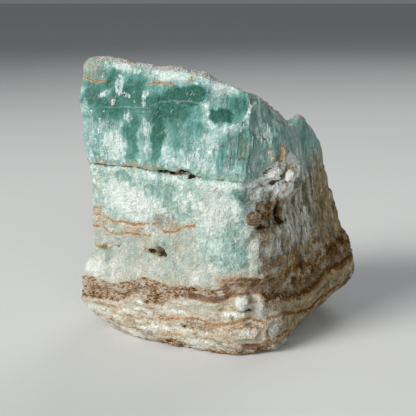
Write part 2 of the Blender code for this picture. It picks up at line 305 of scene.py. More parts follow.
faces_right = ramp(facing[:, 0], 0.25, 0.6) * ramp(skin[:, 2], 4, 12)
faces_up = ramp(facing[:, 2], 0.35, 0.7)
ragged = warped(skin, 2.4, 0.9)
whole = 0.10 + 0.24 * ramp(above_parting, -1, 1) - 0.1 * (1 - ramp(skin[:, 2], 20, 40))
broken = warped(frayed, 5.0, 1.6)
pale = (1 - covered(ragged, DEEP)) * (1 - covered(broken, CRISP_DEEP, full=0.66, squareness=4))
deep = 1 - (1 - whole) * pale
warm = (1 - ramp(skin[:, 2] + 3 * waves(skin, 9.0, shift=2.2), 35, 53)) * 0.95
warm *= 1 - 0.9 * spot(ragged, CLEAR_PATCH)
warm = np.maximum(warm, 0.42 * (1 - ramp(above_parting, -3, 1)))
warm = np.maximum(warm, covered(broken, GREYED, full=0.3, squareness=3))
shattered = covered(warped(frayed, 2.2, 0.9), SHATTERED, full=0.75, squareness=1.5)
smooth = (1 - 0.5 * faces_right) * (1 - 0.2 * ramp(above_parting, -2, 3)) * (1 - covered(skin, FIBROUS))
fibrous = upright * (1 - smooth)
height += upright * (0.15 + 0.6 * fibrous) * (np.abs(waves(skin, 1.7, stretch=9.0)) - 0.25)
chipping = chips(skin + 20, 2.6)
height += 0.25 * chipping


class Shade:
    """A value or a colour of the material. Arithmetic on it adds Math nodes, and node() any other node."""

    def __init__(self, tree, socket=None):
        self.tree = tree
        self.socket = socket

    def node(self, kind, settings, sockets, out=0):
        made = self.tree.nodes.new("ShaderNode" + kind)
        for name, value in settings.items():
            if name == "stops":
                ends = made.color_ramp.elements
                ends[0].position, ends[0].color = value[0]
                ends[1].position, ends[1].color = value[-1]
                for position, colour in value[1:-1]:
                    ends.new(position).color = colour
            else:
                setattr(made, name, value)
        for name, value in sockets.items():
            if isinstance(value, Shade):
                self.tree.links.new(value.socket, made.inputs[name])
            else:
                made.inputs[name].default_value = value
        return Shade(self.tree, made.outputs[out])

    def also(self, out):
        """Another output of the node that this one comes from."""
        return Shade(self.tree, self.socket.node.outputs[out])

    def math(self, operation, *values):
        return self.node("Math", {"operation": operation}, dict(enumerate(values)))

    def __add__(self, other):
        return self.math("ADD", self, other)

    def __sub__(self, other):
        return self.math("SUBTRACT", self, other)

    def __rsub__(self, other):
        return self.math("SUBTRACT", other, self)

    def __mul__(self, other):
        return self.math("MULTIPLY", self, other)

    def __abs__(self):
        return self.math("ABSOLUTE", self)

    __radd__ = __add__
    __rmul__ = __mul__

    def ramp(self, low, high):
        """0 below low and 1 above high, smooth between them."""
        ends = {"Value": self, "From Min": low, "From Max": high}
        return self.node("MapRange", {"interpolation_type": "SMOOTHSTEP"}, ends)

    def colours(self, *stops):
        return self.node("ValToRGB", {"stops": [(at, (*colour, 1)) for at, colour in stops]}, {"Fac": self})

    def under(self, mask, colour):
        """This colour with another laid over it where the mask is 1."""
        over = colour if isinstance(colour, Shade) else (*colour, 1)
        return self.node("Mix", {"data_type": "RGBA"}, {0: mask, 6: self, 7: over}, out=2)

    def link(self, name, shader):
        self.tree.links.new(self.socket, shader.inputs[name])


material = bpy.data.materials.new("calcite")
material.use_nodes = True
shader = material.node_tree.nodes["Principled BSDF"]
shader.inputs["Specular IOR Level"].default_value = 0.25
paint = Shade(material.node_tree)
place = paint.node("TexCoord", {}, {}, out="Object")
place = paint.node("VectorMath", {"operation": "SCALE"}, {0: place, "Scale": 1 / MM})


def laid_out(size, stretch, shift, lean=0.0, turn=0.0):
    """The places to read a pattern at, so that its features have a size and are drawn out along Z. shift
    gives another pattern, lean tips it towards +X and turn then swings it round Z, in radians."""
    turned = {"Location": (shift, shift, shift), "Rotation": (0, lean, turn)}
    scaled = {"Vector": place, "Scale": (size, size, size * stretch)}
    return paint.node("Mapping", {"vector_type": "TEXTURE"}, scaled | turned)


NOISE_SWING = 7  # brings the noise, which keeps close to its middle, to about -1 to 1


def mottle(size, stretch=1.0, detail=2.0, lean=0.0, shift=0.0, turn=0.0):
    """Noise from about -1 to 1 over the stone."""
    at = laid_out(size, stretch, shift, lean, turn)
    grain = paint.node("TexNoise", {}, {"Vector": at, "Scale": 1.0, "Detail": detail, "Roughness": 0.6})
    return (grain - 0.5) * NOISE_SWING


def strands(size, stretch, lean, shift, width=0.3):
    """Fine pale strands of crystal, side by side and leaning. 1 along the middle of each."""
    return 1 - abs(mottle(size, stretch=stretch, detail=1.5, lean=lean, shift=shift)).ramp(0.02, width)


def facets(size, stretch=1.0, shift=0.0):
    """Small flat crystal faces. Gives how far each is tipped up at a place, about -0.5 to 0.5, and its own
    shade."""
    at = laid_out(size, stretch, shift)
    tone = paint.node("TexVoronoi", {}, {"Vector": at, "Scale": 1.0}, out="Color")
    away = paint.node("VectorMath", {"operation": "SUBTRACT"}, {0: at, 1: tone.also("Position")})
    slope = paint.node("VectorMath", {"operation": "SUBTRACT"}, {0: tone, 1: (0.5, 0.5, 0.5)})
    tipped = paint.node("VectorMath", {"operation": "DOT_PRODUCT"}, {0: away, 1: slope}, out="Value")
    shade = paint.node("SeparateColor", {}, {"Color": tone}, out="Green")
    return tipped, shade


def specks(size, radius, stretch=1.0, shift=0.0):
    """1 in small dots scattered about a size apart."""
    at = laid_out(size, stretch, shift)
    away = paint.node("TexVoronoi", {}, {"Vector": at, "Scale": 1.0}, out="Distance")
    return 1 - away.ramp(radius * 0.4, radius)


def field(name, values):
    """Keeps one number for each vertex of the skin, and gives it to the material."""
    stone.data.attributes.new(name, "FLOAT", "POINT").data.foreach_set("value", values.astype(np.float32))
    return paint.node("Attribute", {"attribute_name": name}, {}, out="Fac")


def marked(name, marks):
    """How strongly marks cover the stone, as a field with ragged edges."""
    return field(name, covered(ragged, marks))


def nearest_line(places, lines):
    """How far above the nearest of some thin lines each place is, in half widths of it, and 1 along that
    line. A line is its half width and its (X, Z)."""
    nearest = np.zeros(len(places))
    along = np.zeros(len(places))
    least = np.full(len(places), np.inf)
    for width, path in lines:
        away = (places[:, 2] - course(places, path)) / width
        beyond = np.clip(np.maximum(path[0][0] - places[:, 0], places[:, 0] - path[-1][0]), 0, None)
        far = np.abs(away) + 2 * beyond / width
        nearest = np.where(far < least, away, nearest)
        along = np.where(far < least, 1 - ramp(beyond, 0, 2.5), along)
        least = np.minimum(far, least)
    return nearest, along


wandering = warped(skin, 1.8, 0.3)
streaks = mottle(0.8, stretch=12, detail=2, lean=0.05) + 0.5 * mottle(3.0, stretch=4, shift=4)
flakes = mottle(2.6, stretch=1.5, detail=4, lean=0.3, shift=7)
sugar = mottle(0.8, detail=3, shift=12)
clouds = mottle(7, stretch=1.4, detail=3, shift=30)
blotches = mottle(3.4, stretch=1.2, detail=3, shift=33)
scratches = mottle(0.5, stretch=8, detail=1, lean=0.7, shift=15) + 0.3 * flakes
felt = strands(0.9, 6.0, 0.3, 60, width=0.22).math("MAXIMUM", strands(0.8, 6.0, -0.22, 64, width=0.22))
felt = felt * (0.75 + 0.5 * sugar + 0.4 * blotches).ramp(0.4, 1.2)
coarse_tip, coarse_shade = facets(2.4, stretch=1.4, shift=3)
fine_tip, fine_shade = facets(1.0, stretch=1.3, shift=6)
crystal = (coarse_shade + fine_shade - 1) * 1.4
fibrous = field("fibrous", fibrous)
white = marked("white", WHITE)
shattered = field("shattered", shattered)
chipping = field("chipping", chipping)
hidden = field("faces_back", np.maximum(faces_back, faces_up * ramp(skin[:, 2], 50, 60)))
swells = mottle(15, stretch=0.8, detail=3, shift=75) * hidden
depth = field("deep", deep) + 0.09 * clouds + 0.16 * swells - 0.22 * white + 0.14 * streaks * fibrous + 0.13
loose = 1 - depth.ramp(0.45, 0.75)
rough_crystal = 0.16 * blotches + 0.12 * flakes + 0.13 * sugar + 0.2 * crystal
depth = depth + (0.2 + 0.8 * loose) * rough_crystal - 0.06 * chipping
colour = depth.colours(*CALCITE)
warm = field("warm", warm) + 0.1 * clouds + 0.06 * flakes
warm_tone = 0.72 - depth * 1.15 + 0.2 * crystal + 0.1 * blotches
colour = colour.under(warm.ramp(0.1, 0.9) * 0.92, warm_tone.colours(*WARM))
olive = (0.6 * mottle(4.5, stretch=1.6, detail=3, shift=36) + 0.3 * flakes).ramp(0.1, 0.8)
colour = colour.under(olive * warm.ramp(0.35, 0.9) * 0.5 * (1 - white), OLIVE)
veiled = 0.7 * white - 0.3 * swells + 0.28 * blotches + 0.2 * flakes + 0.08 * sugar + 0.06 * chipping
colour = colour.under(veiled.ramp(0.3, 0.55) * (0.35 + 0.1 * crystal) * (0.15 + 0.85 * loose), BRUISE)
colour = colour.under(felt * (0.1 + 0.9 * loose) * (0.3 + 0.42 * white), BRUISE)
streaked = (streaks + 0.3 * flakes + 0.2 * sugar).ramp(0.3, 0.8) * fibrous * (0.25 + 0.75 * loose)
colour = colour.under(streaked * 0.8, BRUISE)
bruised = (veiled + 0.14 * streaks + 0.12 * sugar).ramp(0.6, 1.0) * (0.2 + 0.8 * loose)
colour = colour.under(bruised * (0.52 + 0.3 * crystal + 0.1 * felt), BRUISE)
shattered = shattered * 1.25 + 0.2 * flakes + 0.16 * sugar + 0.2 * streaks + 0.25 * crystal
colour = colour.under(shattered.ramp(0.6, 0.95) * (0.5 + 0.3 * crystal + 0.12 * streaks), BRUISE)
scratched = scratches.ramp(0.8, 1.1) * mottle(5, shift=2).ramp(0.3, 0.8)
colour = colour.under(scratched * 0.25, BRUISE)
flecks = specks(1.5, 0.2, stretch=1.6) * mottle(3, shift=3).ramp(0.5, 0.9)
colour = colour.under(flecks * 0.35, BRUISE)
pale_line, paled = nearest_line(wandering, PALE_LINES)
pale_line = (1 - abs(field("pale_line", pale_line) + 0.2 * sugar).ramp(0.3, 1.3)) * field("paled", paled)
colour = colour.under(pale_line * 0.22, PALE_LINE)
roughness = 0.32 + 0.16 * bruised + 0.1 * fibrous + 0.1 * crystal
grain = (0.9 * coarse_tip + 0.7 * fine_tip + 0.1 * felt) * (0.3 + 0.7 * loose)
grain = grain + 0.2 * sugar + 0.35 * streaks * fibrous

stone.data.materials.clear()
stone.data.materials.append(material)

# ---- The brown beds --------------------------------------------------------------------------------------
# Brown aragonite laid down in thin, crumbly sheets. The main bed runs right round the stone above the
# foot and climbs to the right. Its face is rough, it stands back a little from the calcite, and a grey
# seam parts it.
BED_TOP = [
    (-52.7, 21.0), (-45.5, 21.2), (-38.4, 20.9), (-35.2, 22.4), (-31, 23.5), (-27.8, 25.2), (-24.7, 24.7),
    (-20.4, 23.7), (-10.9, 24.5), (-2.9, 24.4), (1.6, 27.7), (5.7, 28.7), (11.9, 28.7), (16, 27.5),
    (24, 29), (30, 30), (37, 31), (45, 31), (52, 29.5),
]
BED_BOTTOM = [
    (-53, 12.9), (-46.6, 13.4), (-42.4, 13.2), (-38.4, 14.5), (-33.4, 17.1), (-31.1, 18.7), (-29.4, 17.8),
    (-28.6, 15.6), (-22, 16.2), (-19.7, 17.9), (-15.2, 20), (-10.2, 20.5), (-2.9, 19.8), (0.6, 20.2),
    (2.3, 22.5), (5.8, 24.2), (12, 24.5), (15.9, 22), (22, 19.2), (28.7, 15.6), (36, 17.5), (40, 19.9),
    (52, 21.6),
]
SEAM = [
    (-14, 20.8), (-11.6, 21.4), (-8.8, 21.2), (-6, 20.6), (-3.2, 20.9), (-0.4, 21.6), (1.6, 22.9),
    (3.7, 23.6), (6, 24.2), (9, 24.8), (12, 24.6),
]
# Brown stains; those along the foot's lower edge, at Z about 1, are partly painted shadow.
STAINS_AND_FOOT_SHADE = [
    (1.0, 10.8, -38.5, 49.4, 4.6, 3.8), (1.0, 15, -36, 51.5, 6.5, 5.5), (1.0, 19.5, -30, 51, 7, 6),
    (0.6, 15, -36.5, 43.5, 5, 6), (0.35, 14.5, -38.5, 34, 4.5, 9), (0.5, 20, -32, 31, 9, 9),
    (0.55, 27, -24, 30, 9, 10), (0.8, 35, -11, 29, 10, 12), (0.95, 43, 0, 27, 10, 11),
    (1.0, 51, 10, 27, 9, 9), (1.0, -18, -30, 1.0, 10, 4.2), (1.0, 10, -38, 1, 12, 5.0),
    (0.8, -3, -37, 0.5, 6, 2.6), (0.7, 25, -30, 5, 5, 2.5), (0.7, 15.7, -39.2, 19.5, 1.6, 3),
    (0.5, -9, -36, 10, 9, 3), (0.4, -25, -29, 12, 12, 2), (0.4, 33, -18, 9, 14, 4),
]
BROWN = [
    (0.0, (0.14, 0.05, 0.015)), (0.25, (0.47, 0.25, 0.11)), (0.5, (0.74, 0.51, 0.30)),
    (0.75, (0.88, 0.73, 0.53)), (1.0, (0.98, 0.94, 0.84)),
]
CREAM = [
    (0.0, (0.30, 0.20, 0.11)), (0.25, (0.49, 0.40, 0.28)), (0.5, (0.55, 0.53, 0.43)),
    (0.75, (0.69, 0.67, 0.57)), (1.0, (0.86, 0.86, 0.80)),
]
BED_HALO = (0.56, 0.46, 0.32)
SEAM_RUST = (0.26, 0.11, 0.03)
SEAM_GREY = (0.36, 0.33, 0.34)

beds = warped(skin, 4.0, 0.8)
inside_bed = np.minimum(course(beds, BED_TOP) - beds[:, 2], beds[:, 2] - course(beds, BED_BOTTOM))
in_bed = ramp(inside_bed, -0.3, 0.8)
crumbs = waves(skin * (1, 1, 2.0), 1.8, octaves=2, shift=2.5)
height += upright * in_bed * (0.8 * crumbs - 0.3)
from_seam = skin[:, 2] - course(skin, SEAM)
seamed = ramp(skin[:, 0], -15, -11) * (1 - ramp(skin[:, 0], 11, 14)) * (1 - faces_back)
height -= seamed * 0.7 * np.exp(-((from_seam / 0.7) ** 2))
# Brown stain, and partly painted shadow along the foot's lower edge.
stained = covered(ragged, STAINS_AND_FOOT_SHADE)
height += stained * 0.35 * crumbs

laminae = mottle(1.6, stretch=0.3, detail=3, shift=20) + 0.4 * mottle(5, stretch=0.3, detail=2, shift=22)
crumbled = mottle(0.9, stretch=0.7, detail=3, shift=24)
layers = laminae * 0.3 + crumbled * 0.26 + 0.26 * crystal + 0.12 * blotches
below = field("below_bed", course(beds, BED_BOTTOM) - beds[:, 2])
banded = 0.44 * mottle(7, stretch=0.3, detail=4, shift=70)
cream = (0.34 * layers + 0.14 * flakes + 0.1 * clouds + banded + 0.55).colours(*CREAM)
colour = colour.under((below + 0.7 * flakes).ramp(-1.0, 1.5) * (1 - 0.75 * white), cream)
bed = field("bed", inside_bed)
stained = field("stained", stained)
browned = (bed + 0.3 * flakes + 0.2 * crumbled).ramp(-0.3, 0.3)
halo = (bed + 0.8 * flakes).ramp(-2.0, -0.2)
colour = colour.under(halo * 0.5, BED_HALO)
blotted = (stained + 0.25 * layers + 0.16 * flakes + 0.14 * blotches).ramp(0.3, 0.6)
browned = browned.math("MAXIMUM", browned, blotted)
cracked = strands(3.0, 0.24, 0.0, 44, width=0.2) * mottle(4, shift=46).ramp(-0.4, 0.4)
flecked = specks(1.3, 0.42, stretch=0.5, shift=9) * mottle(2.4, shift=48).ramp(-0.2, 0.4)
brown = (layers + 0.56 + 0.1 * clouds - 0.4 * cracked + 0.4 * flecked - 0.15 * stained).colours(*BROWN)
colour = colour.under(browned, brown)
seam = field("seam", from_seam)
seamed = field("seamed", seamed)
colour = colour.under((1 - abs(seam + 0.5).ramp(0.5, 1.5)) * seamed * 0.85, SEAM_RUST)
broken_seam = (0.5 + 0.5 * clouds + 0.4 * blotches).ramp(0.1, 0.7) * seamed
colour = colour.under((1 - abs(seam + 0.4 * flakes).ramp(0.1, 0.42)) * broken_seam * 0.8, SEAM_GREY)
roughness = roughness + (0.85 - roughness) * browned
grain = grain + browned * (0.9 * crumbled + 0.6 * laminae - 0.7 * cracked)

# ---- The right side --------------------------------------------------------------------------------------
# The break round the near corner runs along the fibres, so it is ribbed from top to bottom. Above the
# parting it is still blue-green; below it, years in iron-stained clay have left it grey, olive and ochre.
SIDE = [
    (0.0, (0.07, 0.055, 0.025)), (0.25, (0.24, 0.215, 0.13)), (0.5, (0.43, 0.425, 0.33)),
    (0.75, (0.66, 0.65, 0.57)), (1.0, (0.86, 0.87, 0.82)),
]
SIDE_GREEN = [
    (0.0, (0.10, 0.24, 0.19)), (0.4, (0.29, 0.47, 0.41)), (0.7, (0.50, 0.64, 0.58)),
    (1.0, (0.80, 0.88, 0.84)),
]
SIDE_OLIVE = [
    (0.0, (0.12, 0.085, 0.025)), (0.4, (0.36, 0.28, 0.125)), (0.7, (0.50, 0.42, 0.24)),
    (1.0, (0.80, 0.75, 0.62)),
]
# A darker copy of the bed's brown for the right side, which is in shade: painted shade.
SHADED_BROWN = [
    (0.0, (0.12, 0.045, 0.008)), (0.3, (0.40, 0.185, 0.035)), (0.6, (0.58, 0.40, 0.20)),
    (1.0, (0.90, 0.84, 0.70)),
]
SIDE_OCHRE = (0.42, 0.31, 0.13)
SHARD = [
    (0.0, (0.14, 0.12, 0.08)), (0.35, (0.48, 0.49, 0.42)), (0.65, (0.84, 0.88, 0.82)),
    (1.0, (0.97, 0.98, 0.94)),
]
BLADE = (0.93, 0.93, 0.87)
# Painted shade in the gaps between the shards.
SPLIT_GAP_SHADE = (0.07, 0.055, 0.025)
OCHRE_SIDE = [
    (0.9, 38.5, 2, 51, 3.5, 12, -0.4), (0.9, 41.5, 4, 43, 4.5, 10, -0.4), (0.8, 46, 8, 34, 5, 7),
    (0.5, 34, -6, 56, 3, 9), (0.6, 38, -4, 37, 4, 6), (0.6, 24.8, -19.3, 62.8, 2.0, 5),
    (0.6, 30, -16, 33, 8, 3), (0.5, 17, -32, 43, 3, 6), (0.5, 22, -27, 39, 4, 4),
    (0.6, 36, -12, 24, 9, 4), (0.5, 47, 4, 18, 6, 3),
]
GREY_SIDE = [
    (0.9, 17.5, -32, 38, 5, 8), (0.9, 15, -36, 55, 5, 5), (0.8, 14.5, -37.5, 40, 4, 12),
    (0.4, 23, -25, 47, 4, 9), (0.5, 30, -14, 42, 4, 8), (0.6, 26, -20, 56, 5, 7),
    (0.8, 20, -34, 21, 6, 5), (0.5, 33, -14, 14, 12, 4), (0.6, 45, 0, 15, 8, 3),
]
reach = skin[:, 1] + 5.0 * waves(skin, 6.0, stretch=1.5, octaves=3, shift=2.9)
turned = ramp(past_corner - 3.0 * (1 - ramp(skin[:, 2], 16, 28)), -3, 5)
turned = field("turned", turned * (1 - ramp(reach, 14, 34)) * ramp(facing[:, 0], -0.7, 0.0))
far = field("far_right", ramp(skin[:, 0] + 2.0 * waves(skin, 4.0, stretch=3.0, shift=5.5), 32.5, 37))
low = field("low", 1 - ramp(skin[:, 2] + 5 * waves(skin, 5.0, stretch=2.5, octaves=3, shift=6.1), 57, 69))
ribs = 0.7 * mottle(1.1, stretch=12, detail=3, shift=50) + 0.8 * mottle(3.2, stretch=5, shift=52)
ribbed = 0.46 + 0.28 * ribs + 0.16 * crystal + 0.2 * flakes + 0.12 * sugar + 0.1 * blotches
greyed = marked("greyed", GREY_SIDE)
veined = 0.42 + 0.18 * ribs + 0.16 * crystal + 0.16 * flakes + 0.14 * blotches + 0.14 * clouds
colour = colour.under(turned * (1 - low) * 0.8, veined.colours(*SIDE_GREEN))
colour = colour.under(turned * low * 0.95, (ribbed - 0.12 + 0.3 * greyed).colours(*SIDE))
ochred = marked("ochre", OCHRE_SIDE) + 0.15 * ribs + 0.1 * flakes - 0.3 * greyed
colour = colour.under(ochred.ramp(0.2, 0.6) * 0.7, SIDE_OCHRE)
mossy = (0.26 + 0.16 * ribs + 0.2 * blotches + 0.12 * flakes).colours(*SIDE_OLIVE)
colour = colour.under(far * low * turned * (1 - below.ramp(-2, 1)) * 0.8, mossy)
climbing = mottle(1.3, stretch=5, detail=3, lean=1.15, shift=54, turn=0.95)
streaky = 0.33 + 0.32 * climbing + 0.16 * blotches + 0.14 * crystal - 0.22 * far
colour = colour.under(turned * below.ramp(-0.5, 1.5) * 0.92, streaky.colours(*SIDE_OLIVE))
mottled = (browned - 0.45 * greyed + 0.15 * ribs + 0.25 * flakes + 0.2 * blotches).ramp(0.2, 0.7)
shaded = 0.45 * layers + 0.25 * flakes + 0.3 * blotches + 0.2 * clouds + 0.38
# The brown on the right side takes its darker, painted-shade copy.
colour = colour.under(mottled * turned, shaded.colours(*SHADED_BROWN))
split = (field("split", split) + 0.1 * flakes).ramp(0.2, 0.6)
blade = field("blade", strokes(frayed, BLADES))
split_gap = field("split_gap", strokes(frayed, SPLIT_GAPS))
shards = mottle(1.6, stretch=4, detail=3, lean=0.55, shift=56, turn=0.9)
shards = 0.84 + 0.55 * shards + 0.3 * crystal - 0.25 * chipping
colour = colour.under(split * 0.95, shards.colours(*SHARD))
colour = colour.under(blade.ramp(0.15, 0.6) * 0.9, BLADE)
# Painted shade along the gaps between the shards.
colour = colour.under(split_gap.ramp(0.15, 0.6) * 0.9, SPLIT_GAP_SHADE)

# ---- The thin brown lines --------------------------------------------------------------------------------
# Hair-thin sheets of rusty aragonite between the growth layers of the calcite, each with a faint tan
# halo. They lie nearly level, and a few run close together on the left.
LINES = [
    (0.40, [(-54, 47.6), (-48.6, 47.2), (-46.5, 48.0), (-44.8, 48.2)]),
    (0.45, [(-54, 45.0), (-48.6, 45.5), (-44.9, 46.1), (-42.5, 45.0), (-39.1, 44.2), (-35.2, 44.4),
            (-31.9, 43.9), (-27.3, 44.8)]),
    (0.40, [(-54, 41.3), (-47.5, 40.9), (-44.2, 41.5), (-41.9, 40.3), (-40.0, 39.4), (-37.2, 40.0),
            (-33.4, 40.6), (-29.7, 40.3), (-26.7, 40.5)]),
    (0.50, [(-23.8, 45.0), (-23.3, 44.3), (-20.4, 43.1), (-16.9, 43.4), (-14.4, 45.2), (-10.8, 46.1)]),
    (0.25, [(-25, 94.2), (-23.4, 94.8), (-18.5, 94.6)]),
    (0.30, [(-52, 98.8), (-50.3, 96.6), (-48, 95.2), (-45, 94.4), (-42.5, 94.6)]),
    (0.5, [(-24, 10.0), (-16, 11.8), (-10, 12.9), (-6, 12.0), (-2.5, 11.4)]),
    (0.65, [(-2.5, 11.6), (0.6, 12.4), (3.4, 12.9), (5.8, 13.7), (8.7, 14.2), (10.8, 13.9), (12.8, 13),
            (14.6, 12)]),
    (0.5, [(-10, 9.6), (-3, 10.4), (3, 10.6), (8, 11.8), (12, 10.6)]),
    (0.6, [(2.4, 5.6), (9.5, 4.1), (13.7, 4.3), (17.2, 4.9), (22, 6.6)]),
    (0.7, [(16.5, 14), (20.2, 14.1), (22.2, 13.6), (25.4, 11.2), (28.8, 9.9), (31.7, 8.6), (38, 10.5),
           (46, 12.5)]),
    (1.5, [(14.5, 23.2), (15.9, 22), (22.1, 19.2), (28.7, 16.2), (31.7, 16.8), (36, 17.5), (40.1, 19.9),
           (47.2, 20.5), (54, 21.6)]),
    (0.8, [(-1, 27.8), (4, 28.4), (7.5, 28.0), (12, 27.2), (16, 28.2)]),
    (0.6, [(1.5, 24.6), (5, 26.2), (9, 26.4), (13, 25.6)]),
    (0.30, [(-48, 17.4), (-42, 18.0), (-36, 17.2), (-31, 21.0), (-26, 21.6)]),
]
TINTS = [
    (0.6, 10.8, -38.5, 49.6, 4.4, 3.6), (0.5, 15, -36, 53.5, 4, 2.5), (0.9, -17.5, -31, 46.2, 4.5, 2.6),
    (0.6, -32, -24, 42.0, 8, 3), (0.7, -44, -16.5, 44.5, 6, 4), (0.5, -12, -32, 46.5, 6, 2),
    (0.7, -44, -16, 33.8, 3.5, 2.8), (0.5, -30, -24, 29, 5, 2.5), (0.5, -44, -16, 66, 6, 2),
    (0.9, -20, -31, 12, 11, 3), (0.8, -17, -32, 6, 8, 3), (0.7, -4, -36, 14.5, 8, 2.5),
    (0.6, 1, -37, 8, 10, 3), (0.7, 12, -40, 8.5, 6, 3), (0.4, -38, -20, 15, 8, 2),
    (0.3, 22, -32, 9, 8, 4),
]
TINT = (0.56, 0.44, 0.31)
FOOT_GREYS = [
    (0.9, -7, -34.5, 17.2, 9, 2.8), (0.7, -31, -23, 14.5, 6, 2.2), (0.9, -1.8, -37.5, 11.5, 3.2, 5.5),
    (0.8, 2.2, -38, 9.5, 3, 5), (0.7, -17, -32, 16, 8, 2), (0.6, 3, -38, 6.5, 7, 1.6),
    (0.5, -14, -33, 13.5, 6, 1.6), (0.6, 24, -28, 14, 6, 3),
]
FOOT_GREY = (0.40, 0.41, 0.32)
# Dark smudges: partly own tone, partly painted shade in a hollow of the foot and along its lower edge.
SMUDGE_AND_SHADE_MARKS = [
    (0.6, -28, -26, 4, 9, 3), (0.5, 2.5, -38, 9, 3, 3), (0.86, -20.0, -29.4, 46.6, 10.0, 4.6),
    (0.6, -44.5, -16.5, 33.0, 3, 1.6), (0.5, 12, -39, 43.5, 5, 6), (0.4, 12, -39.5, 38, 2.4, 5),
    (0.9, -3.8, -37, 12.5, 3.5, 1.6), (0.8, -1.6, -37.6, 12.5, 2.6, 4.5), (0.7, -1, -37.6, 5.5, 3.5, 3),
    (0.6, -5, -37.5, 9.5, 3, 1.2), (0.7, -12, -35, 12.5, 3, 0.8), (0.6, 6, -39, 14.6, 5, 1.0),
    (0.8, 13.5, -40, 24.5, 3, 2.0), (0.5, -20, -30, 9, 6, 1), (0.5, -34, -22, 11, 5, 0.9),
    (0.6, 18, -35, 18, 4, 2), (0.7, 27, -25, 13, 5, 1.6), (0.5, 3, -38, 3.4, 6, 1),
]
SMUDGE_AND_SHADE = [(0.0, (0.13, 0.10, 0.06)), (0.5, (0.27, 0.235, 0.175)), (1.0, (0.56, 0.55, 0.48))]
RUST = (0.36, 0.17, 0.06)
# A darker copy of the rust for the right side, which is in shade: painted shade.
SHADED_RUST = (0.20, 0.075, 0.004)
LINE_HALO = (0.58, 0.44, 0.29)
BACK_LINES = [
    (0.45, [(-54, 45.5), (-40, 46.5), (-28, 44.0), (-14, 45.5), (-2, 48.0), (6, 47.0)]),
    (0.40, [(-54, 41.0), (-44, 42.0), (-33, 39.5), (-22, 40.5)]),
    (0.40, [(0, 40.5), (10, 42.5), (22, 41.0), (33, 43.5), (54, 42.0)]),
    (0.45, [(-30, 9.0), (-18, 11.5), (-6, 10.0), (8, 12.5), (20, 11.0), (36, 13.0)]),
    (0.40, [(-10, 6.0), (4, 7.5), (18, 5.5)]),
    (0.35, [(-38, 78.0), (-26, 79.5), (-12, 78.5), (0, 80.0)]),
]
drawn = [nearest_line(wandering, lines) for lines in (BACK_LINES, LINES)]
line, along = np.where(faces_back > 0.5, *drawn)
height -= 0.2 * upright * along * np.exp(-(line**2))

line = field("line", line)
along = field("along", along)
tinted = (marked("tinted", TINTS) + 0.2 * flakes + 0.15 * blotches).ramp(0.24, 0.85)
colour = colour.under(tinted * 0.65, TINT)
footed = (marked("footed", FOOT_GREYS) + 0.2 * flakes + 0.15 * sugar).ramp(0.28, 0.85)
colour = colour.under(footed * 0.7, FOOT_GREY)
# Smudges and painted shade, laid over the colour.
smudged = marked("smudged", SMUDGE_AND_SHADE_MARKS) + 0.16 * flakes + 0.12 * sugar + 0.14 * blotches
smudge_and_shade_tone = (0.45 + 0.2 * crystal + 0.15 * flakes).colours(*SMUDGE_AND_SHADE)
colour = colour.under(smudged.ramp(0.26, 1.0) * 0.8, smudge_and_shade_tone)
colour = colour.under((1 - abs(line + 0.6 * flakes).ramp(0.8, 4.5)) * along * 0.5, LINE_HALO)
lined = (1 - abs(line + 0.5 * crumbled).ramp(0.4, 1.5)) * mottle(2.4, shift=40).ramp(-1.2, 0.3)
colour = colour.under(lined * along * 0.85, RUST)
# The rust on the right side takes its darker, painted-shade copy.
colour = colour.under((lined * along * turned * 1.6).ramp(0.1, 0.9), SHADED_RUST)

# ---- The lips of the parting -----------------------------------------------------------------------------
# The parting's colour, laid over the calcite and the lines. It has a tan, weathered lip above a thin dark
# brown line, partly painted shade in the crack, and a near-black painted shadow where the two halves gape.
LIP_TAN = (0.50, 0.38, 0.22)
# Dark brown of the thin line: partly brown, partly painted shade in the open crack.
PARTING_BROWN_AND_SHADE = (0.16, 0.10, 0.045)
# Near-black painted shadow inside the gapes.
GAPE_SHADOW = (0.02, 0.014, 0.008)
parting = field("above_parting", above_parting)
opened = field("open_line", open_line)
gape_shadow = field("gape", gape)
lip = (1 - abs(parting - 0.9).ramp(0.5, 2.2)) * opened
colour = colour.under(lip * (0.5 + 0.4 * flakes).ramp(0.1, 0.8) * 0.8, LIP_TAN)
# The thin line, darker where the crack is open: partly painted shade.
parted_and_shaded = (1 - abs(parting + 0.1 * sugar).ramp(0.15, 0.5)) * opened.math("MINIMUM", opened * 2.4, 1.0)
colour = colour.under(parted_and_shaded * (0.6 + 0.4 * clouds).ramp(0.0, 0.6), PARTING_BROWN_AND_SHADE)
# Painted shadow where the two halves gape.
gape_shadow = (gape_shadow + 0.05 * sugar).ramp(0.08, 0.3)
colour = colour.under(gape_shadow, GAPE_SHADOW)
roughness = roughness + (1 - roughness) * gape_shadow

